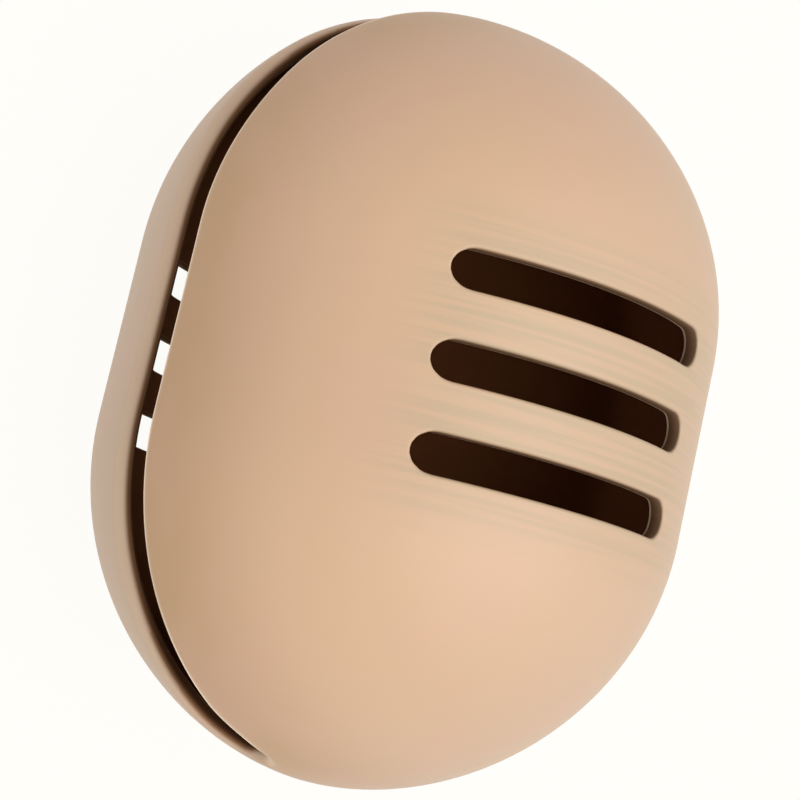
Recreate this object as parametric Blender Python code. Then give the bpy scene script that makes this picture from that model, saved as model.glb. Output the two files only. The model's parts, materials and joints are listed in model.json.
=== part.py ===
"""Soft pill-shaped case for a makeup sponge.

One hollow silicone pill, slit round one long side: two mirrored shells, joined round
the other side by a flexing wall, with three vents in each shell. Metres, +Z up. X is
the width (the mouth faces -X), Y is the length, and the case lies on the rear shell
with the middle of its small flat foot at the origin.
"""

import math

import bmesh
import bpy
from mathutils import Matrix, Vector

# Overall form, and the powers that round its section
LENGTH = 0.0888
WIDTH = 0.0688
DEPTH = 0.068
CROWN_POWER = 2.0
SHOULDER_POWER = 1.7
WALL = 0.002

# Mouth slit, and the flexing wall that closes its other side
MOUTH_HEIGHT = 0.0043
MOUTH_REACH = 0.025
LIP_ROUND = 0.0014
LIP_INNER_ROUND = 0.0004
JOIN_GAP = 0.0003

# Vents, the same in both shells
VENT_COUNT = 3
VENT_LENGTH = 0.0316
VENT_WIDTH = 0.0042
VENT_PITCH = 0.0093
VENT_SHIFT = -0.0038
VENT_ROUND = 0.0004

# Foot that keeps the case from rolling
FOOT_DEPTH = 0.0005

# How far every cut runs past what it cuts
OVERRUN = 0.003

# Facets
END_STEPS = 20
STRAIGHT_STEPS = 4
PROFILE_STEPS = 11
VENT_END_STEPS = 8
VENT_SIDE_STEPS = 8
VENT_ROUND_STEPS = 2
LIP_STEPS = 4
LIP_INNER_STEPS = 2
BAND_STEPS = 4
RELIEF_STEPS = 12

# Angles
QUARTER = math.pi / 2
VENT_ROUND_TURN = math.radians(60)
SOFT_ANGLE = math.radians(40)

SILICONE_COLOUR = (0.58, 0.38, 0.26, 1.0)
SILICONE_ROUGHNESS = 0.55

# Places that follow from the sizes above
END_RADIUS = WIDTH / 2
HALF_STRAIGHT = LENGTH / 2 - END_RADIUS
HALF_DEPTH = DEPTH / 2
HALF_MOUTH = MOUTH_HEIGHT / 2
MOUTH_END_X = MOUTH_REACH - END_RADIUS
HINGE_AXIS = Vector((END_RADIUS, 0, HALF_DEPTH - FOOT_DEPTH))
MERGE = JOIN_GAP / 10


def clear_scene():
    for old in list(bpy.data.objects):
        bpy.data.objects.remove(old, do_unlink=True)


def silicone(name):
    material = bpy.data.materials.new(name)
    material.use_nodes = True
    shader = material.node_tree.nodes["Principled BSDF"]
    shader.inputs["Base Color"].default_value = SILICONE_COLOUR
    shader.inputs["Roughness"].default_value = SILICONE_ROUGHNESS
    shader.inputs["Metallic"].default_value = 0.0
    return material


def add_object(name, bm, half=1):
    """Make an object whose origin is on the hinge axis.

    The mesh comes with z = 0 at the mouth's middle; half is -1 to turn it to the rear.
    """
    bmesh.ops.scale(bm, verts=bm.verts, vec=(1, 1, half))
    bmesh.ops.translate(bm, verts=bm.verts, vec=(-END_RADIUS, 0, 0))
    bmesh.ops.recalc_face_normals(bm, faces=bm.faces)
    mesh = bpy.data.meshes.new(name)
    bm.to_mesh(mesh)
    bm.free()
    mesh.shade_smooth()
    mesh.set_sharp_from_angle(angle=SOFT_ANGLE)
    obj = bpy.data.objects.new(name, mesh)
    obj.location = HINGE_AXIS
    bpy.context.scene.collection.objects.link(obj)
    return obj


def cut(obj, cutter):
    """Subtract a cutter, which stays as a wire guide that moves with its piece."""
    cutter.parent = obj
    cutter.matrix_parent_inverse = Matrix.Translation(-HINGE_AXIS)
    cutter.hide_render = True
    cutter.display_type = "WIRE"
    step = obj.modifiers.new("cut " + cutter.name, "BOOLEAN")
    step.operation = "DIFFERENCE"
    step.solver = "EXACT"
    step.object = cutter


def section_point(turn, inset):
    """Point of the pill's section: turn 0 is the crown, a quarter turn is the side."""
    across = (END_RADIUS - inset) * math.sin(turn) ** (2 / CROWN_POWER)
    above = (HALF_DEPTH - inset) * math.cos(turn) ** (2 / SHOULDER_POWER)
    return across, above


def section_turn(above, inset):
    """Turn at which the section has a height above the mid plane."""
    return math.acos((above / (HALF_DEPTH - inset)) ** (SHOULDER_POWER / 2))


def height_at(x, y, inset):
    """Height above the mid plane of the outside, or of the inside at the wall's inset."""
    past_straight = max(abs(y) - HALF_STRAIGHT, 0)
    share = min(math.hypot(x, past_straight) / (END_RADIUS - inset), 1)
    return (HALF_DEPTH - inset) * (1 - share ** CROWN_POWER) ** (1 / SHOULDER_POWER)


def shell_section(foot_depth):
    """Section of a shell's wall: down the outside from the crown, and back up inside."""
    curves = []
    for inset in (0, WALL):
        rim_turn = section_turn(HALF_MOUTH, inset)
        turns = [rim_turn * k / PROFILE_STEPS for k in range(PROFILE_STEPS + 1)]
        curves.append([section_point(turn, inset) for turn in turns])
    outside, inside = curves
    if foot_depth:
        foot_height = HALF_DEPTH - foot_depth
        foot_reach = section_point(section_turn(foot_height, 0), 0)[0]
        past_foot = [point for point in outside if point[0] > foot_reach + MERGE]
        outside = [(0, foot_height), (foot_reach, foot_height)] + past_foot
    return outside + inside[::-1]


def band_section():
    """Section of the flexing wall: the same curves between the two rims, a closed loop."""
    top = HALF_MOUTH - JOIN_GAP
    heights = [top * (1 - 2 * k / BAND_STEPS) for k in range(BAND_STEPS + 1)]
    curves = []
    for inset in (0, WALL):
        reaches = [section_point(section_turn(abs(z), inset), inset)[0] for z in heights]
        curves.append(list(zip(reaches, heights)))
    outside, inside = curves
    return outside + inside[::-1] + outside[:1]


def sweep_round(section):
    """Sweep a section round one end, down the straight, round the other end and back."""
    bm = bmesh.new()
    verts = [bm.verts.new((x, HALF_STRAIGHT, z)) for x, z in section]
    edges = [bm.edges.new(pair) for pair in zip(verts, verts[1:])]
    geom = verts + edges
    for side in (1, -1):
        swept = bmesh.ops.spin(
            bm, geom=geom, cent=(0, side * HALF_STRAIGHT, 0), axis=(0, 0, 1),
            angle=math.pi, steps=END_STEPS)
        geom = swept["geom_last"]
        for _ in range(STRAIGHT_STEPS):
            lines = [item for item in geom if isinstance(item, bmesh.types.BMEdge)]
            pulled = bmesh.ops.extrude_edge_only(bm, edges=lines)["geom"]
            geom = [item for item in pulled if not isinstance(item, bmesh.types.BMFace)]
            moved = [item for item in geom if isinstance(item, bmesh.types.BMVert)]
            run = -side * 2 * HALF_STRAIGHT / STRAIGHT_STEPS
            bmesh.ops.translate(bm, verts=moved, vec=(0, run, 0))
    bmesh.ops.remove_doubles(bm, verts=bm.verts, dist=MERGE)
    return bm


def reach_of(co):
    """Distance from the pill's spine, seen from above."""
    return math.hypot(co.x, max(abs(co.y) - HALF_STRAIGHT, 0))


def round_lips(bm):
    """Round the rim's outer edge widely and its inner edge a little, where the mouth is open."""
    middle = END_RADIUS - WALL / 2
    for outer, size, steps in ((True, LIP_ROUND, LIP_STEPS), (False, LIP_INNER_ROUND, LIP_INNER_STEPS)):
        bmesh.ops.recalc_face_normals(bm, faces=bm.faces)
        on_rim = {v for v in bm.verts if abs(v.co.z - HALF_MOUTH) < MERGE and v.co.x < MOUTH_END_X
                  and (reach_of(v.co) > middle) == outer}
        lips = [edge for edge in bm.edges
                if on_rim.issuperset(edge.verts) and edge.calc_face_angle(0) > SOFT_ANGLE]
        bmesh.ops.bevel(
            bm, geom=lips, offset=size, offset_type="OFFSET", segments=steps,
            profile=0.5, affect="EDGES", material=-1, clamp_overlap=True)


def vent_outline(grow):
    """Round-ended slot about its own middle, grown outwards."""
    half_run = (VENT_LENGTH - VENT_WIDTH) / 2
    radius = VENT_WIDTH / 2 + grow
    points = []
    for side in (1, -1):
        for k in range(VENT_END_STEPS + 1):
            turn = math.pi * k / VENT_END_STEPS - QUARTER
            points.append((side * (half_run + radius * math.cos(turn)), side * radius * math.sin(turn)))
        for k in range(1, VENT_SIDE_STEPS):
            points.append((side * half_run * (1 - 2 * k / VENT_SIDE_STEPS), side * radius))
    return points


def vent_rings():
    """Growth, wall inset and rise of each ring of a vent's cutter, from inside to outside."""
    rings = [(0, WALL, -OVERRUN)]
    for k in range(VENT_ROUND_STEPS + 1):
        turn = VENT_ROUND_TURN * k / VENT_ROUND_STEPS
        grow = VENT_ROUND * (1 - math.cos(turn))
        rings.append((grow, 0, VENT_ROUND * (math.sin(turn) - 1)))
    return rings + [(grow, 0, OVERRUN)]


def vent_cutter(name, half, middle_y):
    """A slot through the crown, whose outer edge widens in a soft round."""
    bm = bmesh.new()
    loops = []
    for grow, inset, rise in vent_rings():
        ring = []
        for along, across in vent_outline(grow):
            x, y = VENT_SHIFT + along, middle_y + across
            ring.append(bm.verts.new((x, y, height_at(x, y, inset) + rise)))
        loops.append([bm.edges.new(pair) for pair in zip(ring, ring[1:] + ring[:1])])
    for lower, upper in zip(loops, loops[1:]):
        bmesh.ops.bridge_loops(bm, edges=lower + upper)
    for loop in (loops[0], loops[-1]):
        bmesh.ops.triangle_fill(bm, edges=loop, use_beauty=True)
    return add_object(name, bm, half)


def mouth_cutter(name):
    """The slit's own shape, a bar with a round end, run through the flexing wall."""
    bm = bmesh.new()
    round_x = MOUTH_END_X - HALF_MOUTH
    start_x = -END_RADIUS - OVERRUN
    turns = [math.pi * k / RELIEF_STEPS - QUARTER for k in range(RELIEF_STEPS + 1)]
    outline = [(round_x + HALF_MOUTH * math.cos(turn), HALF_MOUTH * math.sin(turn)) for turn in turns]
    outline += [(start_x, HALF_MOUTH), (start_x, -HALF_MOUTH)]
    verts = [bm.verts.new((x, -LENGTH, z)) for x, z in outline]
    pulled = bmesh.ops.extrude_face_region(bm, geom=[bm.faces.new(verts)])["geom"]
    moved = [item for item in pulled if isinstance(item, bmesh.types.BMVert)]
    bmesh.ops.translate(bm, verts=moved, vec=(0, 2 * LENGTH, 0))
    return add_object(name, bm)


def build_shell(name, half):
    bm = sweep_round(shell_section(FOOT_DEPTH if half < 0 else 0))
    round_lips(bm)
    shell = add_object(name, bm, half)
    shell.data.materials.append(silicone(name))
    for k in range(VENT_COUNT):
        middle_y = (k - (VENT_COUNT - 1) / 2) * VENT_PITCH
        cut(shell, vent_cutter(f"{name}_vent_{k + 1}", half, middle_y))


def build_hinge_wall():
    wall = add_object("hinge_wall", sweep_round(band_section()))
    wall.data.materials.append(silicone("hinge_wall"))
    cut(wall, mouth_cutter("mouth"))


def main():
    clear_scene()
    build_shell("rear_shell", -1)
    build_shell("front_shell", 1)
    build_hinge_wall()


main()
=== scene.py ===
"""Finish of the soft silicone makeup sponge case: moulding, surface and studio.

The case is one moulding. Its outside is drawn flat, as a belt round the side and a
sheet over each crown, with the mouth slit and the vents as round-ended slots. It is
then wrapped to the pill's form, lined with an inside, and parted where the case flexes.
"""

import json
import math
from bisect import bisect_left

import bmesh
import bpy
from bpy.props import FloatProperty, FloatVectorProperty, IntProperty, PointerProperty
from bpy.types import Operator, Panel, PropertyGroup
from mathutils import Matrix, Vector
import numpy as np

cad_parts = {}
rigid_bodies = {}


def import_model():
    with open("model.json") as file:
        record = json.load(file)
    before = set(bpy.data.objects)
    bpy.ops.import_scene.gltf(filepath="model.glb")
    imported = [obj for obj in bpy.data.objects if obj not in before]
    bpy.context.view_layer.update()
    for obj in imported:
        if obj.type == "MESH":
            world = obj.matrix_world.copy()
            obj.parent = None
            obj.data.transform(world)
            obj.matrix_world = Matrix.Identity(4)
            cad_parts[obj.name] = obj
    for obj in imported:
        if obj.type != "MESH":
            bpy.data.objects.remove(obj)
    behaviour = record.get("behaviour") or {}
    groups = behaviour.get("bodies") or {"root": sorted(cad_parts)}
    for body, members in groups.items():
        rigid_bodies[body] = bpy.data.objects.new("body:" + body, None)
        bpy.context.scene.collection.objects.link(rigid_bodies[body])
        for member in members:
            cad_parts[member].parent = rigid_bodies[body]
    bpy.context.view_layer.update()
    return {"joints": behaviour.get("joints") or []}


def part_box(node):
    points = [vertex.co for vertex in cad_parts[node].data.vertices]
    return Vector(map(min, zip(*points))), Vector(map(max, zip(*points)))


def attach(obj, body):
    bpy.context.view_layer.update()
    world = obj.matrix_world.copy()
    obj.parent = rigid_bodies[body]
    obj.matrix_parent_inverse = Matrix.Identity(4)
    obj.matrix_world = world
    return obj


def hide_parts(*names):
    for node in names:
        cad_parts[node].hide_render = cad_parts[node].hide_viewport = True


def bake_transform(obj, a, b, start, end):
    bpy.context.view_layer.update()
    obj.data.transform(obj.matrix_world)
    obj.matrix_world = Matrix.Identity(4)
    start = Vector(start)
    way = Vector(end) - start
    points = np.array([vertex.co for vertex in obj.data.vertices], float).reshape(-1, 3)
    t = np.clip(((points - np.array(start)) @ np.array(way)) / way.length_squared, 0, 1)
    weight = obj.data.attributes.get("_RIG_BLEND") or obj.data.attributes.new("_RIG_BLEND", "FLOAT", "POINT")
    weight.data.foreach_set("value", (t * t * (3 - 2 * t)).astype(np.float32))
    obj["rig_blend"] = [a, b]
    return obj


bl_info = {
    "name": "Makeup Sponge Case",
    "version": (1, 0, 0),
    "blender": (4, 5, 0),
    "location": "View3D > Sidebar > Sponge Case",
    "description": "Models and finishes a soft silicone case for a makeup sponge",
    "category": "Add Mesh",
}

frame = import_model()

# The form, read from the frame: heights count from the plane through the mouth's middle
FRONT_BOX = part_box("front_shell")
REAR_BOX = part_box("rear_shell")
BAND_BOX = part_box("hinge_wall")
HINGE = frame["joints"][0]
REAR_BODY = HINGE["parent"]
FRONT_BODY = HINGE["child"]
END_RADIUS = HINGE["pos_m"][0]
MID_HEIGHT = HINGE["pos_m"][2]
HALF_STRAIGHT = BAND_BOX[1].y - END_RADIUS
HALF_DEPTH = FRONT_BOX[1].z - MID_HEIGHT
HALF_MOUTH = (FRONT_BOX[0].z - REAR_BOX[1].z) / 2
FOOT_HEIGHT = MID_HEIGHT - REAR_BOX[0].z

# Powers that round the section, as the solids have them
CROWN_POWER = 2.0
SHOULDER_POWER = 1.7

QUARTER = math.pi / 2
# Distance that counts as none, and how close a search comes
TINY = 1e-6
CLOSE = 1e-8
# Share of a face's width within which a sheet's corners are joined
JOIN_SHARE = 0.125

# Stretch from the mouth's middle over which its edges' painted shade and highlight take those of its ends
LIP_ENDS = (0.026, 0.045)
# Turns of the mouth's edge over which painted shade darkens it, and how much sooner at the rear lip's ends
SHADE_TURNS = (math.radians(56), math.radians(114))
SHADE_LEADS = (math.radians(28), math.radians(20))
# Turns over which the front lip's painted highlight grows, how much sooner at its ends, and where that stops
HIGHLIGHT_TURNS = (math.radians(8), math.radians(26))
HIGHLIGHT_LEAD = math.radians(14)
HIGHLIGHT_END_TURNS = (math.radians(45), math.radians(75))
# Share of that painted highlight that is lost round the mouth's ends
HIGHLIGHT_LOSS = 0.7
# Painted shade of a vent's wall at its outer and its inner edge
VENT_SHADES = (0.33, 0.7)
# Share of inside and painted shade past which a face takes the shaded copy of the silicone, without gloss
IN_SHADE = 0.25
# Painted shades over which the colour turns warm, and those over which it turns dark
WARM_SHADES = (0.0, 0.6)
DARK_SHADES = (0.4, 1.0)
# Noise at which a mark starts and is full, and the least strength of a flow line
NOISE_BAND = (0.35, 0.65)
LEAST_FLOW = 0.35

MOULDING = "moulding"
SKIN = "moulded_silicone"
SHADED_SKIN = "shaded_silicone"
TONE = "silicone_tone"
GRAIN = "mould_grain"
# Shares on the mesh that the finish reads: the inside's and the edges' painted shade, and the painted
# highlight
MARKS = ("inside", "shade", "pale_edge")

WARM_WHITE = (1.0, 0.991, 0.955, 1.0)
FLOOR_COLOUR = (0.9, 0.9, 0.9, 1.0)
# Share of the camera's distance from which it sees
CLIP_SHARE = 0.01


class MouldingSizes(PropertyGroup):
    """Sizes of the moulding that its boxes don't give."""

    wall: FloatProperty(
        name="Wall", description="Thickness of the silicone",
        default=0.002, min=0.001, unit="LENGTH")
    mouth_reach: FloatProperty(
        name="Mouth reach", description="How far the mouth cuts in from the open side",
        default=0.025, unit="LENGTH")
    front_bow: FloatVectorProperty(
        name="Front bow", description="How far the front lip stands off at the mouth's +Y and -Y end",
        size=2, min=0, default=(0.0009, 0.0006), unit="LENGTH")
    rear_bow: FloatVectorProperty(
        name="Rear bow", description="How far the rear lip stands off at the mouth's +Y and -Y end",
        size=2, min=0, default=(0.0, 0.0005), unit="LENGTH")
    rear_rise: FloatProperty(
        name="Rear rise", description="How far the soft rear lip rises in the middle of the mouth",
        min=0, default=0.00035, unit="LENGTH")
    rise_reach: FloatVectorProperty(
        name="Rise reach", description="From the mouth's middle to where the rise starts to fall, and ends",
        size=2, min=0, default=(0.014, 0.027), unit="LENGTH")
    bow_start: FloatVectorProperty(
        name="Bow start", description="From the mouth's middle to where the lips begin to part",
        size=2, min=0, default=(0.010, 0.043), unit="LENGTH")
    bow_full: FloatVectorProperty(
        name="Bow full", description="From the mouth's middle to where they are fully apart",
        size=2, min=0, default=(0.030, 0.050), unit="LENGTH")
    lip_round: FloatProperty(
        name="Lip round", description="Full outer edge of the mouth",
        default=0.0014, unit="LENGTH")
    lip_inner_round: FloatProperty(
        name="Inner lip round", description="Smaller inner edge of the mouth",
        default=0.0004, unit="LENGTH")
    vent_count: IntProperty(
        name="Vents", description="Vents in each shell", default=3, min=1)
    vent_length: FloatProperty(
        name="Vent length", description="A vent from end to end",
        default=0.0316, unit="LENGTH")
    vent_width: FloatProperty(
        name="Vent width", description="A vent from side to side",
        default=0.0042, unit="LENGTH")
    vent_pitch: FloatProperty(
        name="Vent pitch", description="From one vent to the next",
        default=0.0093, unit="LENGTH")
    vent_shift: FloatProperty(
        name="Vent shift", description="Middle of the vents, towards the hinge side",
        default=-0.0038, unit="LENGTH")
    vent_round: FloatProperty(
        name="Vent round", description="Soft outer edge of a vent",
        default=0.0004, unit="LENGTH")
    vent_inner_round: FloatProperty(
        name="Inner vent round", description="Crisp inner edge of a vent",
        default=0.0002, unit="LENGTH")
    # Band at a vent's inner edge that takes the painted highlight on the front vents
    edge_line: FloatProperty(
        name="Edge line", description="Width of the pale line on a vent's wall, at its inner edge",
        default=0.0002, unit="LENGTH")
    foot_blend: FloatProperty(
        name="Foot blend", description="How softly the flat foot runs out",
        default=0.00012, unit="LENGTH")
    parting_inset: FloatProperty(
        name="Parting inset", description="From the mouth's edge to where the pieces part",
        default=0.00015, unit="LENGTH")


class FacetSizes(PropertyGroup):
    """How finely the moulding is divided."""

    belt_height: FloatProperty(
        name="Belt", description="Half height of the belt round the side",
        default=0.0105, unit="LENGTH")
    sheet_radius: FloatProperty(
        name="Crown sheet", description="Half width of the sheet over a crown",
        default=0.024, unit="LENGTH")
    face: FloatProperty(
        name="Face", description="Widest face", default=0.0011, unit="LENGTH")
    belt_row: FloatProperty(
        name="Belt row", description="Tallest face of the belt, which flexes",
        default=0.0006, unit="LENGTH")
    outer_steps: IntProperty(
        name="Outer steps", description="Faces round a soft outer edge", default=7, min=2)
    inner_steps: IntProperty(
        name="Inner steps", description="Faces round a crisp inner edge", default=3, min=2)


def smooth_share(value, low, high):
    """0 up to low, 1 from high on, and a smooth rise between them."""
    share = max(0, min(1, (value - low) / (high - low)))
    return share * share * (3 - 2 * share)


def outer_reach(height, inset):
    """Distance from the spine to the wall, at a height above or below the mid plane."""
    share = min(abs(height) / (HALF_DEPTH - inset), 1)
    return (END_RADIUS - inset) * (1 - share ** SHOULDER_POWER) ** (1 / CROWN_POWER)


def crown_height(reach, inset, side):
    """Height of the crown at a distance from the spine; the rear's outside has its foot."""
    share = min(reach / (END_RADIUS - inset), 1)
    height = (HALF_DEPTH - inset) * (1 - share ** CROWN_POWER) ** (1 / SHOULDER_POWER)
    if side < 0 and inset == 0:
        over = height - FOOT_HEIGHT
        soft = bpy.context.scene.case_moulding.foot_blend
        height = FOOT_HEIGHT + (over - math.hypot(over, soft)) / 2
    return side * height


def section_turn(height, inset):
    """Turn from the crown at which the section has a height."""
    return math.acos((height / (HALF_DEPTH - inset)) ** (SHOULDER_POWER / 2))


def reach_turn(reach, inset):
    """Turn from the crown at which the section has a distance from the spine."""
    return math.asin(min(reach / (END_RADIUS - inset), 1) ** (CROWN_POWER / 2))


def spine_and_out(point):
    """The nearest point of the case's spine, and the level way out from it."""
    spine = Vector((0, max(-HALF_STRAIGHT, min(HALF_STRAIGHT, point.y)), 0))
    return spine, Vector((point.x, point.y - spine.y, 0))


def section_place(point, turn, inset):
    """The section's point at a turn, in the upright plane that holds a point."""
    spine, out = spine_and_out(point)
    reach = (END_RADIUS - inset) * math.sin(turn) ** (2 / CROWN_POWER)
    height = (HALF_DEPTH - inset) * math.cos(turn) ** (2 / SHOULDER_POWER)
    return spine + out.normalized() * reach + Vector((0, 0, math.copysign(height, point.z)))


def belt_half_length():
    return 2 * HALF_STRAIGHT + math.pi * END_RADIUS


def mouth_half_length():
    """From the middle of the mouth, round the side, to its end."""
    sizes = bpy.context.scene.case_moulding
    return HALF_STRAIGHT + END_RADIUS * math.acos(1 - sizes.mouth_reach / END_RADIUS)


def bow_size(along, side):
    """How far the soft lip of a side stands off its straight line, that far along."""
    sizes = bpy.context.scene.case_moulding
    k = 0 if along > 0 else 1
    start, full = sizes.bow_start[k], sizes.bow_full[k]
    end = mouth_half_length()
    share = smooth_share(abs(along), start, full)
    share *= 1 - smooth_share(abs(along), end, end + full - start)
    if side > 0:
        return share * sizes.front_bow[k]
    rise = sizes.rear_rise * (1 - smooth_share(abs(along), *sizes.rise_reach))
    return share * sizes.rear_bow[k] - rise


def bow_share(rise):
    """Share of the bow that reaches a point of the flat belt, at a rise from its middle."""
    lip_end = HALF_MOUTH + bpy.context.scene.case_moulding.lip_round
    fade = 1 - smooth_share(rise, lip_end, bpy.context.scene.case_facets.belt_height)
    return min(rise / HALF_MOUTH, 1) * fade


def bowed(along, height):
    """Height of a point of the flat belt once the lips have bowed apart."""
    return height + bow_size(along, height) * bow_share(abs(height)) * math.copysign(1, height)


def unbowed(along, height):
    """The height that bowed turns into this one, found between ever closer heights."""
    size = bow_size(along, height)
    low, high = 0, abs(height) + max(0, -size)
    while size and high - low > CLOSE:
        middle = (low + high) / 2
        if middle + size * bow_share(middle) < abs(height):
            low = middle
        else:
            high = middle
    return math.copysign(high, height)


def belt_point(along, height, inset):
    """Wrap a point of the flat belt; along counts from the middle of the mouth."""
    height = bowed(along, height)
    past = abs(along) - HALF_STRAIGHT
    turn = max(0, min(math.pi, past / END_RADIUS))
    back = max(0, past - math.pi * END_RADIUS)
    reach = outer_reach(height, inset)
    y = min(abs(along), HALF_STRAIGHT) - back + reach * math.sin(turn)
    return Vector((-reach * math.cos(turn), math.copysign(y, along), height))


def belt_place(point):
    """Flat place of a point of the belt, the other way round from belt_point."""
    spine, out = spine_and_out(point)
    if abs(point.y) > HALF_STRAIGHT:
        along = HALF_STRAIGHT + END_RADIUS * math.atan2(abs(out.y), -out.x)
    elif point.x < 0:
        along = abs(point.y)
    else:
        along = belt_half_length() - abs(point.y)
    along = math.copysign(along, point.y)
    return along, unbowed(along, point.z)


def crown_point(x, y, inset, side):
    """Lift a point of the flat crown sheet to the crown."""
    reach = spine_and_out(Vector((x, y, 0)))[1].length
    return Vector((x, y, crown_height(reach, inset, side)))


def inside_point(point):
    """The inside's point under a point of the outside."""
    wall = bpy.context.scene.case_moulding.wall
    facets = bpy.context.scene.case_facets
    reach = spine_and_out(point)[1].length
    if reach <= facets.sheet_radius + TINY:
        return crown_point(point.x, point.y, wall, math.copysign(1, point.z))
    if abs(point.z) <= facets.belt_height + TINY:
        return belt_point(*belt_place(point), wall)
    turns = []
    for inset in (0, wall):
        turns.append((section_turn(facets.belt_height, inset), reach_turn(facets.sheet_radius, inset)))
    (start, end), (inner_start, inner_end) = turns
    share = (reach_turn(reach, 0) - start) / (end - start)
    return section_place(point, inner_start + (inner_end - inner_start) * share, wall)


class Slot:
    """A round-ended opening, in the flat drawing that it is cut from."""

    def __init__(self, middle, length, width, rounds, side):
        self.middle = Vector(middle)
        self.half_run = (length - width) / 2
        self.half_width = width / 2
        self.edge_round, self.inner_round = rounds
        self.side = side

    def outline(self, grow, steps):
        """Corners round the slot, grown outwards."""
        radius = self.half_width + grow
        corners = []
        for end in (1, -1):
            for k in range(steps + 1):
                turn = math.pi * k / steps - QUARTER
                corner = Vector((self.half_run + radius * math.cos(turn), radius * math.sin(turn)))
                corners.append(self.middle + end * corner)
        return corners

    def flat_place(self, point):
        """A point's place from the slot's middle, in the flat drawing."""
        flat = (point.x, point.y) if self.side else belt_place(point)
        return Vector(flat) - self.middle

    def on_axis(self, place):
        return Vector((max(-self.half_run, min(self.half_run, place.x)), 0))

    def miss(self, point):
        """How far a point lies from the slot's edge."""
        place = self.flat_place(point)
        return abs((place - self.on_axis(place)).length - self.half_width)

    def wrap(self, place, inset):
        flat = self.middle + place
        return crown_point(*flat, inset, self.side) if self.side else belt_point(*flat, inset)

    def edge_point(self, point, grow, depth, rise=None):
        """A point's neighbour on the grown edge, some depth in from the outside.

        With a rise it lies that far up from the inside instead.
        """
        place = self.flat_place(point)
        axis = self.on_axis(place)
        place = axis + (place - axis).normalized() * (self.half_width + grow)
        outside = self.wrap(place, 0)
        inside = self.wrap(place, bpy.context.scene.case_moulding.wall)
        through = (inside - outside).normalized()
        return outside + through * depth if rise is None else inside - through * rise


def mouth_slot():
    """The slit round the open side; its half circles lie on the ends of the case."""
    sizes = bpy.context.scene.case_moulding
    rounds = (sizes.lip_round, sizes.lip_inner_round)
    return Slot((0, 0), 2 * mouth_half_length(), 2 * HALF_MOUTH, rounds, 0)


def vent_slots(side):
    sizes = bpy.context.scene.case_moulding
    rounds = (sizes.vent_round, sizes.vent_inner_round)
    slots = []
    for k in range(sizes.vent_count):
        y = (k - (sizes.vent_count - 1) / 2) * sizes.vent_pitch
        slots.append(Slot((sizes.vent_shift, y), sizes.vent_length, sizes.vent_width, rounds, side))
    return slots


def even_lines(breaks, step):
    """Grid lines at every inner break, with even steps between them."""
    lines = []
    for low, high in zip(breaks, breaks[1:]):
        count = math.ceil((high - low) / step - TINY)
        lines += [low + (high - low) * k / count for k in range(count)]
    return lines[1:]


def only(items, kind):
    return [item for item in items if isinstance(item, kind)]


def verts_of(items):
    """The corners of some edges or faces, each once, and in the same order on every run."""
    return list(dict.fromkeys(vert for item in items for vert in item.verts))


def pull_ring(bm, edges):
    """Pull a ring of faces out of some edges, and return its far edges."""
    return only(bmesh.ops.extrude_edge_only(bm, edges=edges)["geom"], bmesh.types.BMEdge)


def cut_lines(bm, faces, axis, lines):
    """Cut a flat sheet's faces at grid lines, in rising order, and return all its faces."""
    normal = Vector((1 - axis, axis, 0))
    done = []
    for line in lines:
        geom = dict.fromkeys(item for face in faces for item in (face, *face.edges, *face.verts))
        cut = bmesh.ops.bisect_plane(
            bm, geom=list(geom), dist=TINY, plane_co=normal * line, plane_no=normal)
        faces = only(cut["geom"], bmesh.types.BMFace)
        done += [face for face in faces if face.calc_center_median()[axis] < line]
        faces = [face for face in faces if face.calc_center_median()[axis] > line]
    return done + faces


def on_a_line(edge, axis, lines):
    """Whether an edge lies along one of the grid lines."""
    ends = [vert.co[axis] for vert in edge.verts]
    k = bisect_left(lines, ends[0] - TINY)
    return abs(ends[0] - ends[1]) < TINY and k < len(lines) and lines[k] < ends[0] + TINY


def fill_sheet(bm, rim, slots, lines_x, lines_y, level):
    """Fill a flat rim round its slots, as a grid of faces, and return the sheet's corners."""
    face_size = bpy.context.scene.case_facets.face
    edges = list(rim)
    for slot in slots:
        steps = math.ceil(2 * math.pi * slot.half_width / face_size)
        ring = [bm.verts.new((*corner, level)) for corner in slot.outline(slot.edge_round, steps)]
        edges += [bm.edges.new(pair) for pair in zip(ring, ring[1:] + ring[:1])]
    filled = bmesh.ops.triangle_fill(bm, edges=edges, use_beauty=True, normal=(0, 0, 1))
    faces = only(filled["geom"], bmesh.types.BMFace)
    faces = cut_lines(bm, faces, 1, lines_y)
    faces = cut_lines(bm, faces, 0, lines_x)
    sheet = set(faces)
    corners = verts_of(faces)
    inner = dict.fromkeys(
        edge for face in faces for edge in face.edges
        if len(edge.link_faces) == 2 and all(other in sheet for other in edge.link_faces))
    slanted = [edge for edge in inner
               if not on_a_line(edge, 0, lines_x) and not on_a_line(edge, 1, lines_y)]
    bmesh.ops.dissolve_edges(bm, edges=slanted, use_verts=False)
    loose = [vert for vert in corners if len(vert.link_edges) == 2 and not vert.is_boundary]
    bmesh.ops.dissolve_verts(bm, verts=loose)
    corners = [vert for vert in corners if vert.is_valid]
    bmesh.ops.remove_doubles(bm, verts=corners, dist=face_size * JOIN_SHARE)
    return [vert for vert in corners if vert.is_valid]


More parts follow.
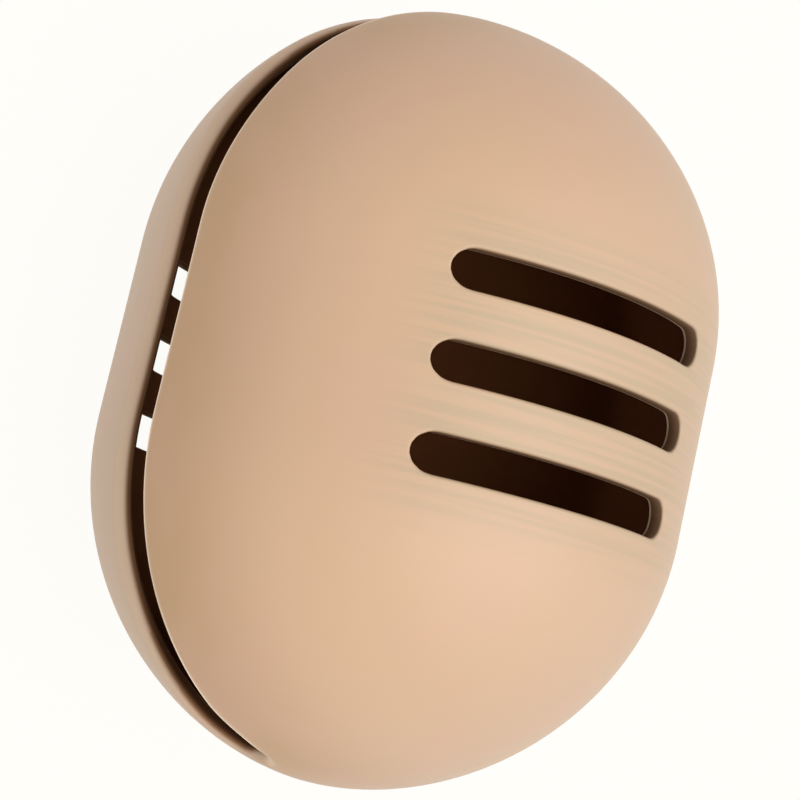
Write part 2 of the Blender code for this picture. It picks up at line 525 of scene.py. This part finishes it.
def build_belt(bm, slot):
    """The belt round the side, closed on the hinge side, with the mouth cut in it."""
    facets = bpy.context.scene.case_facets
    half = belt_half_length()
    height = facets.belt_height
    rim = [bm.verts.new((x, y, 0)) for x, y in (
        (-half, -height), (half, -height), (half, height), (-half, height))]
    edges = [bm.edges.new(pair) for pair in zip(rim, rim[1:] + rim[:1])]
    turned = half - HALF_STRAIGHT
    lines_x = even_lines(
        [-half, -turned, -slot.half_run, -HALF_STRAIGHT, HALF_STRAIGHT, slot.half_run, turned, half],
        facets.face)
    edge = slot.half_width + slot.edge_round
    lines_y = even_lines([-height, -edge, edge, height], facets.belt_row)
    corners = fill_sheet(bm, edges, [slot], lines_x, lines_y, 0)
    for vert in corners:
        vert.co = belt_point(vert.co.x, vert.co.y, 0)
    bmesh.ops.remove_doubles(bm, verts=corners, dist=TINY)


def build_shoulder(bm, side):
    """Rings from the belt to the crown sheet's rim; returns the last ring's edges."""
    facets = bpy.context.scene.case_facets
    level = facets.belt_height * side
    ring = [edge for edge in bm.edges
            if edge.is_boundary and all(abs(vert.co.z - level) < TINY for vert in edge.verts)]
    start = section_turn(facets.belt_height, 0)
    end = reach_turn(facets.sheet_radius, 0)
    count = math.ceil((start - end) * END_RADIUS / facets.face)
    for k in range(1, count + 1):
        ring = pull_ring(bm, ring)
        for vert in verts_of(ring):
            vert.co = section_place(vert.co, start + (end - start) * k / count, 0)
    return ring


def build_crown(bm, ring, slots, side):
    """The sheet over a crown, with its vents."""
    facets = bpy.context.scene.case_facets
    radius = facets.sheet_radius
    edge = slots[0].half_width + slots[0].edge_round
    run = slots[0].half_run
    middle = slots[0].middle.x
    breaks_y = [-radius - HALF_STRAIGHT]
    for slot in slots:
        breaks_y += [slot.middle.y - edge, slot.middle.y + edge]
    breaks_y += [radius + HALF_STRAIGHT]
    lines_x = even_lines([-radius, middle - run, middle + run, radius], facets.face)
    lines_y = even_lines(breaks_y, facets.face)
    level = ring[0].verts[0].co.z
    for vert in fill_sheet(bm, ring, slots, lines_x, lines_y, level):
        vert.co = crown_point(vert.co.x, vert.co.y, 0, side)


def slots_and_rims(bm, slots):
    """Pair each slot with the open edges round it."""
    rims = {slot: [] for slot in slots}
    belt_height = bpy.context.scene.case_facets.belt_height
    for edge in bm.edges:
        if edge.is_boundary:
            middle = (edge.verts[0].co + edge.verts[1].co) / 2
            side = 0 if abs(middle.z) < belt_height else math.copysign(1, middle.z)
            near = [slot for slot in slots if slot.side == side]
            rims[min(near, key=lambda slot: slot.miss(middle))].append(edge)
    return rims


def line_inside(bm, rims, marks):
    """Copy the skin inwards, and close the wall round every slot with rounded edges."""
    outer_verts = list(bm.verts)
    for slot, edges in rims.items():
        for vert in verts_of(edges):
            vert.co = slot.edge_point(vert.co, slot.edge_round, 0)
    twins = bmesh.ops.duplicate(bm, geom=outer_verts + list(bm.edges) + list(bm.faces))["vert_map"]
    for vert in outer_verts:
        twins[vert].co = inside_point(vert.co)
        twins[vert][marks["inside"]] = 1
    for slot, edges in rims.items():
        for vert in verts_of(edges):
            twins[vert].co = slot.edge_point(vert.co, slot.inner_round, 0, rise=0)
        wrap_edge(bm, slot, edges, marks)
    bmesh.ops.remove_doubles(bm, verts=bm.verts, dist=TINY)


def edge_shade(slot, turn, rise, point):
    """Painted shade of an edge where it has turned inwards so far; with a rise it is on the inner edge."""
    if slot.side:
        outer, inner = VENT_SHADES
        return inner if rise is not None else outer * smooth_share(turn, 0, QUARTER)
    along = abs(slot.flat_place(point).x)
    sooner = smooth_share(along, *LIP_ENDS) * smooth_share(-point.z, 0, HALF_MOUTH)
    start, end = (turns - lead * sooner for turns, lead in zip(SHADE_TURNS, SHADE_LEADS))
    return smooth_share(turn, start, end)


def highlight_share(slot, turn, rise, inner_turn, point):
    """Painted highlight on an edge: the front lip's outer edge, and a front vent's inner edge."""
    if slot.side:
        on_edge = rise is not None and rise < slot.inner_round + TINY
        return math.cos(inner_turn) if slot.side > 0 and on_edge else 0
    along = abs(slot.flat_place(point).x)
    front = smooth_share(point.z, 0, HALF_MOUTH)
    front *= 1 - HIGHLIGHT_LOSS * smooth_share(along, slot.half_run - slot.half_width, slot.half_run)
    lead = HIGHLIGHT_LEAD * smooth_share(along, *LIP_ENDS)
    start, end = (limit - lead for limit in HIGHLIGHT_TURNS)
    return front * smooth_share(turn, start, end) * (1 - smooth_share(turn, *HIGHLIGHT_END_TURNS))


def wrap_edge(bm, slot, edges, marks):
    """Rings from the outside, round the edge and down the wall, to the inside.

    Painted shade darkens the edge as it turns inwards. A painted highlight lies on the thin front lip
    where it starts to turn, and on each front vent along its inner edge.
    """
    sizes = bpy.context.scene.case_moulding
    facets = bpy.context.scene.case_facets
    path = []
    for k in range(1, facets.outer_steps + 1):
        turn = QUARTER * k / facets.outer_steps
        grow = slot.edge_round * (1 - math.sin(turn))
        depth = slot.edge_round * (1 - math.cos(turn))
        path.append((grow, depth, None, turn, 0))
    path.append((0, 0, slot.inner_round + sizes.edge_line, QUARTER, 0))
    for k in range(facets.inner_steps + 1):
        inner_turn = QUARTER * k / facets.inner_steps
        grow = slot.inner_round * (1 - math.cos(inner_turn))
        rise = slot.inner_round * (1 - math.sin(inner_turn))
        path.append((grow, 0, rise, QUARTER, inner_turn))
    for vert in verts_of(edges):
        vert[marks["pale_edge"]] = highlight_share(slot, 0, None, 0, vert.co)
    for grow, depth, rise, turn, inner_turn in path:
        edges = pull_ring(bm, edges)
        for vert in verts_of(edges):
            vert.co = slot.edge_point(vert.co, grow, depth, rise)
            vert[marks["inside"]] = inner_turn / QUARTER
            shade = edge_shade(slot, turn + inner_turn, rise, vert.co)
            vert[marks["shade"]] = shade * math.cos(inner_turn)
            vert[marks["pale_edge"]] = highlight_share(slot, turn, rise, inner_turn, vert.co)


def keep_skin_normals(bm, skin_normal):
    """Store each corner's normal, led by its wide faces, before the skin is parted."""
    for vert in bm.verts:
        total = Vector()
        for face in vert.link_faces:
            total += face.normal * face.calc_area()
        vert[skin_normal] = total.normalized()


def build_moulding():
    """The whole case as one closed skin, kept as a mesh that the pieces are parted from."""
    bm = bmesh.new()
    for name in MARKS:
        bm.verts.layers.float.new(name)
    marks = {name: bm.verts.layers.float[name] for name in MARKS}
    skin_normal = bm.verts.layers.float_vector.new("skin_normal")
    mouth = mouth_slot()
    slots = [mouth]
    build_belt(bm, mouth)
    for side in (1, -1):
        vents = vent_slots(side)
        build_crown(bm, build_shoulder(bm, side), vents, side)
        slots += vents
    line_inside(bm, slots_and_rims(bm, slots), marks)
    bmesh.ops.translate(bm, verts=bm.verts, vec=(0, 0, MID_HEIGHT))
    bmesh.ops.recalc_face_normals(bm, faces=bm.faces)
    bm.normal_update()
    keep_skin_normals(bm, skin_normal)
    for face in bm.faces:
        face.smooth = True
        # Faces deep in painted shade take the shaded copy of the silicone, without gloss
        shaded = all(vert[marks["inside"]] + vert[marks["shade"]] > IN_SHADE for vert in face.verts)
        face.material_index = int(shaded)
    open_edges = sum(not edge.is_manifold for edge in bm.edges)
    if open_edges:
        raise RuntimeError(f"The moulding has {open_edges} open edges")
    mesh = bpy.data.meshes.new(MOULDING)
    bm.to_mesh(mesh)
    bm.free()


def add_object(name, data):
    """A new object in the scene."""
    thing = bpy.data.objects.new(name, data)
    bpy.context.scene.collection.objects.link(thing)
    return thing


def part_piece(name, low=None, high=None):
    """Part the stretch of the moulding between two heights, and close its cut faces."""
    if MOULDING not in bpy.data.meshes:
        raise RuntimeError("Mould the skin before its pieces")
    bm = bmesh.new()
    bm.from_mesh(bpy.data.meshes[MOULDING])
    for level, away in ((low, -1), (high, 1)):
        if level is None:
            continue
        cut = bmesh.ops.bisect_plane(
            bm, geom=list(bm.verts) + list(bm.edges) + list(bm.faces), dist=TINY,
            plane_co=(0, 0, level), plane_no=(0, 0, away), clear_outer=True)
        rim = only(cut["geom_cut"], bmesh.types.BMEdge)
        bmesh.ops.triangle_fill(bm, edges=rim, use_beauty=True, normal=(0, 0, away))
    mesh = bpy.data.meshes.new(name)
    bm.to_mesh(mesh)
    bm.free()
    set_skin_normals(mesh)
    mesh.materials.append(silicone_material())
    mesh.materials.append(shaded_silicone_material())
    piece = add_object(name, mesh)
    return piece


def set_skin_normals(mesh):
    """Give the skin the whole moulding's normals, so that no seam shows between pieces."""
    skin = mesh.attributes["skin_normal"]
    normals = [Vector()] * len(mesh.loops)
    for face in mesh.polygons:
        for k in face.loop_indices:
            vertex = mesh.loops[k].vertex_index
            normals[k] = skin.data[vertex].vector.copy() if face.use_smooth else face.normal.copy()
    mesh.attributes.remove(skin)
    mesh.normals_split_custom_set(normals)


def parting_heights():
    """Heights at which the flexing wall meets the rear and the front shell."""
    reach = HALF_MOUTH - bpy.context.scene.case_moulding.parting_inset
    return MID_HEIGHT - reach, MID_HEIGHT + reach


class CASE_OT_moulding(Operator):
    """Mould the case's whole skin, which the pieces are parted from"""

    bl_idname = "case.moulding"
    bl_label = "Mould the Skin"

    def execute(self, context):
        build_moulding()
        return {"FINISHED"}


class CASE_OT_front_shell(Operator):
    """Part the front shell from the moulding"""

    bl_idname = "case.front_shell"
    bl_label = "Front Shell"

    def execute(self, context):
        piece = part_piece("front_silicone", low=parting_heights()[1])
        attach(piece, FRONT_BODY)
        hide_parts("front_shell")
        return {"FINISHED"}


class CASE_OT_rear_shell(Operator):
    """Part the rear shell from the moulding"""

    bl_idname = "case.rear_shell"
    bl_label = "Rear Shell"

    def execute(self, context):
        piece = part_piece("rear_silicone", high=parting_heights()[0])
        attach(piece, REAR_BODY)
        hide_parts("rear_shell")
        return {"FINISHED"}


class CASE_OT_hinge_wall(Operator):
    """Part the flexing wall from the moulding, and let it bend between the shells"""

    bl_idname = "case.hinge_wall"
    bl_label = "Hinge Wall"

    def execute(self, context):
        low, high = parting_heights()
        piece = part_piece("hinge_silicone", low, high)
        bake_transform(piece, REAR_BODY, FRONT_BODY, start=(END_RADIUS, 0, low), end=(END_RADIUS, 0, high))
        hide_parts("hinge_wall")
        return {"FINISHED"}


def colour_property(name, description, default):
    return FloatVectorProperty(
        name=name, description=description, subtype="COLOR", size=3, min=0, max=1, default=default)


class SiliconeFinish(PropertyGroup):
    """Colour and surface of the silicone, with the painted shade, highlight, haze and tone of light."""

    # Painted shade along the front shell beside the mouth, where its light falls off
    rim_shade_colour: colour_property(
        "Rim colour", "Colour of the front shell along the mouth", (0.550, 0.340, 0.186))
    # Painted tone of light: the shaded mouth side is pinker, the lit hinge side sandier
    mouth_shade_tint: colour_property(
        "Mouth colour", "Colour of the silicone on the mouth's side", (0.655, 0.428, 0.272))
    hinge_light_tint: colour_property(
        "Hinge colour", "Sandier colour on the hinge side", (0.580, 0.420, 0.280))
    # Painted reflection: the whitish haze of the surroundings that the rear shell shows at a flat angle
    rear_haze_colour: colour_property(
        "Rear colour", "Colour of the rear shell", (0.610, 0.445, 0.310))
    # Heights over the mouth's middle where the painted shade along the rim fades out
    rim_shade_height: FloatVectorProperty(
        name="Rim height", description="Heights over the mouth's middle where the rim's colour goes over",
        size=2, default=(0.005, 0.019), unit="LENGTH")
    # How far the painted tones of the two sides run into each other
    side_reach: FloatProperty(
        name="Side reach", description="How far the mouth's and the hinge's colours run into each other",
        default=0.024, unit="LENGTH")
    # Painted shade over the inside, which little light reaches
    inside_shade_colour: colour_property(
        "Inside colour", "Colour of the inside, which little light reaches", (0.32, 0.12, 0.045))
    # Painted shade: warm where the edges start to turn into shade, near black where they have turned in
    warm_shade_colour: colour_property(
        "Warm shade colour", "Warm colour of the edges where they start to darken", (0.27, 0.14, 0.072))
    shade_colour: colour_property(
        "Shade colour", "Colour of the edges where they have turned inwards", (0.045, 0.018, 0.008))
    # Painted highlight: the light that the thin edges catch and let through, painted as a colour
    highlight_colour: colour_property(
        "Edge colour", "Colour of the thin edges, which let light through", (1.0, 0.79, 0.57))
    drift_colour: colour_property(
        "Drift colour", "Pinker colour that the silicone drifts towards in patches", (0.66, 0.40, 0.29))
    drift: FloatProperty(
        name="Colour drift", description="How far the colour drifts in patches",
        subtype="FACTOR", min=0, max=1, default=0.35)
    drift_size: FloatVectorProperty(
        name="Drift size", description="Size of the patches",
        size=3, default=(0.012, 0.020, 0.012), unit="LENGTH")
    flow_colour: colour_property(
        "Flow colour", "Colour of the flow lines that the mould left beside the vents",
        (0.45, 0.36, 0.228))
    flow: FloatProperty(
        name="Flow lines", description="How strongly the flow lines show",
        subtype="FACTOR", min=0, max=1, default=0.6)
    flow_size: FloatVectorProperty(
        name="Flow size", description="Length, width and depth of the flow lines",
        size=3, default=(0.030, 0.0007, 0.030), unit="LENGTH")
    flow_reach: FloatVectorProperty(
        name="Flow reach", description="How far beside, before and past the vents the flow lines run out",
        size=3, default=(0.007, 0.007, 0.016), unit="LENGTH")
    roughness: FloatProperty(
        name="Roughness", description="Roughness of the matte skin",
        subtype="FACTOR", min=0, max=1, default=0.55)
    sheen: FloatProperty(
        name="Sheen", description="Strength of the powdery haze at a flat angle",
        subtype="FACTOR", min=0, max=1, default=0.05)
    sheen_roughness: FloatProperty(
        name="Sheen roughness", description="Spread of the haze",
        subtype="FACTOR", min=0, max=1, default=0.4)
    grain_size: FloatVectorProperty(
        name="Grain size", description="Size of the mould's fine grain",
        size=3, default=(0.0002, 0.0002, 0.0002), unit="LENGTH")
    grain_height: FloatProperty(
        name="Grain height", description="Height of the mould's fine grain",
        default=0.000004, unit="LENGTH")


def add_node(tree, kind, **settings):
    node = tree.nodes.new(kind)
    for name, value in settings.items():
        setattr(node, name, value)
    return node


def feed(tree, source, socket):
    """Link an output to a socket, or set the socket to a plain value."""
    if isinstance(source, bpy.types.NodeSocket):
        tree.links.new(source, socket)
    else:
        socket.default_value = source


def blend_colours(tree, share, first, second):
    """Go from the first colour to the second by a share."""
    mix = add_node(tree, "ShaderNodeMix", data_type="RGBA")
    feed(tree, share, mix.inputs["Factor"])
    for name, colour in (("A", first), ("B", second)):
        linked = isinstance(colour, bpy.types.NodeSocket)
        feed(tree, colour if linked else (*colour, 1), mix.inputs[name])
    return mix.outputs["Result"]


def ramp(tree, value, low, high, start=0.0, end=1.0):
    """Smooth rise from start to end, as a value goes from low to high."""
    node = add_node(tree, "ShaderNodeMapRange", interpolation_type="SMOOTHSTEP")
    for name, source in zip(
            ("Value", "From Min", "From Max", "To Min", "To Max"), (value, low, high, start, end)):
        feed(tree, source, node.inputs[name])
    return node.outputs["Result"]


def calculate(tree, operation, *sources):
    """The result of a sum on outputs and plain values."""
    node = add_node(tree, "ShaderNodeMath", operation=operation)
    for source, socket in zip(sources, node.inputs):
        feed(tree, source, socket)
    return node.outputs["Value"]


def multiply(tree, first, second):
    return calculate(tree, "MULTIPLY", first, second)


def axes_of(tree, place):
    """A place's parts along X, Y and Z."""
    split = add_node(tree, "ShaderNodeSeparateXYZ")
    tree.links.new(place, split.inputs["Vector"])
    return [split.outputs[axis] for axis in "XYZ"]


def noise(tree, place, size, detail):
    """Noise whose marks have a size along X, Y and Z."""
    mapping = add_node(tree, "ShaderNodeMapping")
    mapping.inputs["Scale"].default_value = [1 / length for length in size]
    texture = add_node(tree, "ShaderNodeTexNoise")
    texture.inputs["Scale"].default_value = 1.0
    texture.inputs["Detail"].default_value = detail
    tree.links.new(place, mapping.inputs["Vector"])
    tree.links.new(mapping.outputs["Vector"], texture.inputs["Vector"])
    return texture.outputs["Fac"]


def start_group(name, inputs, outputs):
    """A node group with named sockets, and its input and output nodes."""
    tree = bpy.data.node_groups.new(name, "ShaderNodeTree")
    for label, kind in inputs.items():
        tree.interface.new_socket(label, in_out="INPUT", socket_type=kind)
    for label, kind in outputs.items():
        tree.interface.new_socket(label, in_out="OUTPUT", socket_type=kind)
    return tree, add_node(tree, "NodeGroupInput").outputs, add_node(tree, "NodeGroupOutput").inputs


def place_group(tree, group, **values):
    """Put a group into a material, with its own values."""
    node = add_node(tree, "ShaderNodeGroup", node_tree=group)
    for name, value in values.items():
        node.inputs[name].default_value = value
    return node.outputs


def flow_share(tree, place, across, along):
    """Flow lines beside the vents, which run out all round them."""
    finish = bpy.context.scene.case_finish
    slots = vent_slots(1)
    top = slots[-1].middle.y + slots[-1].half_width
    left = slots[0].middle.x - slots[0].half_run
    right = slots[0].middle.x + slots[0].half_run
    beside, before, past = finish.flow_reach
    away = calculate(tree, "ABSOLUTE", along)
    near = ramp(tree, away, top, top + beside, 1.0, 0.0)
    near = multiply(tree, near, ramp(tree, across, left - before, left))
    near = multiply(tree, near, ramp(tree, across, right, right + past, 1.0, 0.0))
    lines = ramp(tree, noise(tree, place, finish.flow_size, detail=1.0), *NOISE_BAND, LEAST_FLOW)
    return multiply(tree, near, lines)


def skin_colour(tree, place, drift, flow):
    """Outside colour: a painted tone of light across it, painted shade and haze, patches and flow lines."""
    finish = bpy.context.scene.case_finish
    across, along, up = axes_of(tree, place)
    # Painted tone of light, pinker on the shaded mouth side and sandier on the lit hinge side
    side = ramp(tree, across, -finish.side_reach, finish.side_reach)
    colour = blend_colours(tree, side, finish.mouth_shade_tint, finish.hinge_light_tint)
    # Painted shade along the front shell's rim on the mouth's side
    low, high = (MID_HEIGHT + height for height in finish.rim_shade_height)
    rim = multiply(tree, ramp(tree, up, low, high, 1.0, 0.0),
                   ramp(tree, across, -finish.side_reach / 2, finish.side_reach / 2, 1.0, 0.0))
    colour = blend_colours(tree, rim, colour, finish.rim_shade_colour)
    # Painted haze of reflected light over the rear shell
    front = ramp(tree, up, MID_HEIGHT - HALF_MOUTH, MID_HEIGHT + HALF_MOUTH)
    colour = blend_colours(tree, front, finish.rear_haze_colour, colour)
    patches = ramp(tree, noise(tree, place, finish.drift_size, detail=2.0), *NOISE_BAND)
    colour = blend_colours(tree, multiply(tree, patches, drift), colour, finish.drift_colour)
    lines = multiply(tree, flow_share(tree, place, across, along), flow)
    return blend_colours(tree, lines, colour, finish.flow_colour)


def painted_inside_shade(tree, place):
    """Painted shade of the inside, which is deepest beside the mouth."""
    finish = bpy.context.scene.case_finish
    across, _, _ = axes_of(tree, place)
    away = ramp(tree, across, -END_RADIUS, 0.0)
    return blend_colours(tree, away, finish.shade_colour, finish.inside_shade_colour)


def tone_group():
    """Colour of the silicone, outside, inside and round the edges, with its painted shade and highlight."""
    if TONE in bpy.data.node_groups:
        return bpy.data.node_groups[TONE]
    finish = bpy.context.scene.case_finish
    tree, given, result = start_group(
        TONE, {"Drift": "NodeSocketFloat", "Flow": "NodeSocketFloat"}, {"Colour": "NodeSocketColor"})
    place = add_node(tree, "ShaderNodeTexCoord").outputs["Object"]
    # Marks for the inside's and the edges' painted shade, and for the painted highlight
    inside, shade, pale = (
        add_node(tree, "ShaderNodeAttribute", attribute_name=name).outputs["Fac"] for name in MARKS)
    colour = skin_colour(tree, place, given["Drift"], given["Flow"])
    # Painted shade of the inside
    colour = blend_colours(tree, inside, colour, painted_inside_shade(tree, place))
    # Painted shade on the edges, first warm, then dark
    colour = blend_colours(tree, ramp(tree, shade, *WARM_SHADES), colour, finish.warm_shade_colour)
    colour = blend_colours(tree, ramp(tree, shade, *DARK_SHADES), colour, finish.shade_colour)
    # Painted highlight on the thin edges
    colour = blend_colours(tree, pale, colour, finish.highlight_colour)
    tree.links.new(colour, result["Colour"])
    return tree


def grain_group():
    """Fine grain that the mould gave the silicone."""
    if GRAIN in bpy.data.node_groups:
        return bpy.data.node_groups[GRAIN]
    tree, given, result = start_group(
        GRAIN, {"Height": "NodeSocketFloat"}, {"Normal": "NodeSocketVector"})
    place = add_node(tree, "ShaderNodeTexCoord").outputs["Object"]
    bump = add_node(tree, "ShaderNodeBump")
    tree.links.new(given["Height"], bump.inputs["Distance"])
    grain = noise(tree, place, bpy.context.scene.case_finish.grain_size, detail=2.0)
    tree.links.new(grain, bump.inputs["Height"])
    tree.links.new(bump.outputs["Normal"], result["Normal"])
    return tree


def start_silicone(name):
    """A material with the silicone's tone and grain, and its shader."""
    finish = bpy.context.scene.case_finish
    material = bpy.data.materials.new(name)
    material.use_nodes = True
    tree = material.node_tree
    shader = tree.nodes["Principled BSDF"]
    tone = place_group(tree, tone_group(), Drift=finish.drift, Flow=finish.flow)
    grain = place_group(tree, grain_group(), Height=finish.grain_height)
    tree.links.new(tone["Colour"], shader.inputs["Base Color"])
    tree.links.new(grain["Normal"], shader.inputs["Normal"])
    return material, shader


def silicone_material():
    """Matte moulded silicone of the outside, with a faint powdery haze."""
    if SKIN in bpy.data.materials:
        return bpy.data.materials[SKIN]
    finish = bpy.context.scene.case_finish
    material, shader = start_silicone(SKIN)
    shader.inputs["Roughness"].default_value = finish.roughness
    shader.inputs["Sheen Weight"].default_value = finish.sheen
    shader.inputs["Sheen Roughness"].default_value = finish.sheen_roughness
    return material


def shaded_silicone_material():
    """Shaded copy of the silicone, for the inside and the openings' walls: painted shade, no gloss."""
    if SHADED_SKIN in bpy.data.materials:
        return bpy.data.materials[SHADED_SKIN]
    material, shader = start_silicone(SHADED_SKIN)
    shader.inputs["Roughness"].default_value = 1.0
    shader.inputs["Specular IOR Level"].default_value = 0.0
    return material


class StudioSetup(PropertyGroup):
    """Camera, floor and light."""

    azimuth: FloatProperty(
        name="Azimuth", description="Turn of the view about the case's length",
        default=math.radians(-39.045), unit="ROTATION")
    elevation: FloatProperty(
        name="Elevation", description="Tilt of the view towards the case's near end",
        default=math.radians(-8.152), unit="ROTATION")
    roll: FloatProperty(
        name="Roll", description="Roll of the view",
        default=math.radians(12.641), unit="ROTATION")
    distance: FloatProperty(
        name="Distance", description="From the lens to the place that it turns about",
        default=0.21935, unit="LENGTH")
    aim_height: FloatProperty(
        name="Aim height", description="Height of the place that the view turns about",
        default=0.0368, unit="LENGTH")
    lens: FloatProperty(
        name="Lens", description="Focal length", default=87.36, unit="CAMERA")
    shift_x: FloatProperty(
        name="Shift X", description="Sideways shift of the frame", default=-0.0323)
    shift_y: FloatProperty(
        name="Shift Y", description="Upward shift of the frame", default=-0.00095)
    floor_size: FloatProperty(
        name="Floor", description="Width of the floor", default=6.0, unit="LENGTH")
    floor_glow: FloatProperty(
        name="Floor glow", description="Share of the floor's look that is plain white",
        subtype="FACTOR", min=0, max=1, default=0.97)
    ambient: FloatProperty(
        name="Ambient", description="Strength of the even light", default=0.22)
    key_strength: FloatProperty(
        name="Key strength", description="Strength of the soft key light", default=3.1)
    key_spread: FloatProperty(
        name="Key spread", description="Angle that the soft key light fills",
        default=math.radians(65), unit="ROTATION")
    key_from: FloatVectorProperty(
        name="Key from", description="Direction that the key light comes from",
        default=(0.0, -0.16, 1.0), subtype="XYZ")


def seen_ray(tree):
    """1 where the camera, a gloss or a clear piece looks on, and 0 for light on the case."""
    path = add_node(tree, "ShaderNodeLightPath")
    seen = path.outputs["Is Camera Ray"]
    for name in ("Is Glossy Ray", "Is Transmission Ray"):
        seen = calculate(tree, "MAXIMUM", seen, path.outputs[name])
    return seen


def floor_material():
    """A pale floor that looks nearly white and still takes the case's shadow."""
    studio = bpy.context.scene.case_studio
    material = bpy.data.materials.new("floor")
    material.use_nodes = True
    tree = material.node_tree
    shader = tree.nodes["Principled BSDF"]
    shader.inputs["Base Color"].default_value = FLOOR_COLOUR
    shader.inputs["Roughness"].default_value = 1.0
    shader.inputs["Specular IOR Level"].default_value = 0.0
    glow = add_node(tree, "ShaderNodeEmission")
    glow.inputs["Color"].default_value = WARM_WHITE
    mix = add_node(tree, "ShaderNodeMixShader")
    tree.links.new(multiply(tree, seen_ray(tree), studio.floor_glow), mix.inputs["Fac"])
    tree.links.new(shader.outputs["BSDF"], mix.inputs[1])
    tree.links.new(glow.outputs["Emission"], mix.inputs[2])
    tree.links.new(mix.outputs["Shader"], tree.nodes["Material Output"].inputs["Surface"])
    return material


def add_floor():
    size = bpy.context.scene.case_studio.floor_size
    bm = bmesh.new()
    bmesh.ops.create_grid(bm, x_segments=1, y_segments=1, size=size / 2)
    mesh = bpy.data.meshes.new("floor")
    bm.to_mesh(mesh)
    bm.free()
    mesh.materials.append(floor_material())
    floor = add_object("floor", mesh)


def add_camera():
    """The camera at the photograph's viewing angle."""
    studio = bpy.context.scene.case_studio
    data = bpy.data.cameras.new("camera")
    data.lens_unit = "MILLIMETERS"
    data.lens = studio.lens
    data.shift_x = studio.shift_x
    data.shift_y = studio.shift_y
    data.clip_start = studio.distance * CLIP_SHARE
    camera = add_object("camera", data)
    turn = (Matrix.Rotation(studio.azimuth, 4, "Y")
            @ Matrix.Rotation(-studio.elevation, 4, "X")
            @ Matrix.Rotation(studio.roll, 4, "Z"))
    aim = Vector((0, 0, studio.aim_height))
    place = aim + turn.to_3x3() @ Vector((0, 0, studio.distance))
    camera.matrix_world = Matrix.Translation(place) @ turn
    bpy.context.scene.camera = camera


def add_light():
    """A wide soft key over the front shell, and even light from all round."""
    studio = bpy.context.scene.case_studio
    data = bpy.data.lights.new("key", "SUN")
    data.energy = studio.key_strength
    data.angle = studio.key_spread
    key = add_object("key", data)
    key.rotation_euler = Vector(studio.key_from).to_track_quat("Z", "Y").to_euler()

    world = bpy.data.worlds.new("studio")
    world.use_nodes = True
    tree = world.node_tree
    background = tree.nodes["Background"]
    background.inputs["Color"].default_value = WARM_WHITE
    strength = add_node(tree, "ShaderNodeMix", data_type="FLOAT")
    strength.inputs["A"].default_value = studio.ambient
    strength.inputs["B"].default_value = 1.0
    tree.links.new(seen_ray(tree), strength.inputs["Factor"])
    tree.links.new(strength.outputs["Result"], background.inputs["Strength"])
    bpy.context.scene.world = world


class CASE_OT_stage(Operator):
    """Set up the floor, the camera and the light"""

    bl_idname = "case.stage"
    bl_label = "Floor, Camera and Light"

    def execute(self, context):
        add_floor()
        add_camera()
        add_light()
        context.scene.view_settings.view_transform = "Standard"
        return {"FINISHED"}


class CASE_PT_panel(Panel):
    """Lists the case's pieces and the stage"""

    bl_label = "Sponge Case"
    bl_idname = "CASE_PT_panel"
    bl_space_type = "VIEW_3D"
    bl_region_type = "UI"
    bl_category = "Sponge Case"

    def draw(self, context):
        column = self.layout.column(align=True)
        for operator in OPERATORS:
            column.operator(operator.bl_idname)
        for name in PROPERTIES:
            group = getattr(context.scene, name)
            box = self.layout.box()
            for field in group.__annotations__:
                box.prop(group, field)


PROPERTIES = {
    "case_moulding": MouldingSizes,
    "case_facets": FacetSizes,
    "case_finish": SiliconeFinish,
    "case_studio": StudioSetup,
}
OPERATORS = (
    CASE_OT_moulding, CASE_OT_front_shell, CASE_OT_rear_shell, CASE_OT_hinge_wall, CASE_OT_stage)


def register():
    for kind in (*PROPERTIES.values(), *OPERATORS, CASE_PT_panel):
        bpy.utils.register_class(kind)
    for name, kind in PROPERTIES.items():
        setattr(bpy.types.Scene, name, PointerProperty(type=kind))


def unregister():
    for name in PROPERTIES:
        delattr(bpy.types.Scene, name)
    for kind in (CASE_PT_panel, *reversed(OPERATORS), *reversed(PROPERTIES.values())):
        bpy.utils.unregister_class(kind)


def main():
    register()
    bpy.ops.case.moulding()
    bpy.ops.case.front_shell()
    bpy.ops.case.rear_shell()
    bpy.ops.case.hinge_wall()
    bpy.ops.case.stage()
    bpy.data.meshes.remove(bpy.data.meshes[MOULDING])


if __name__ == "__main__":
    main()
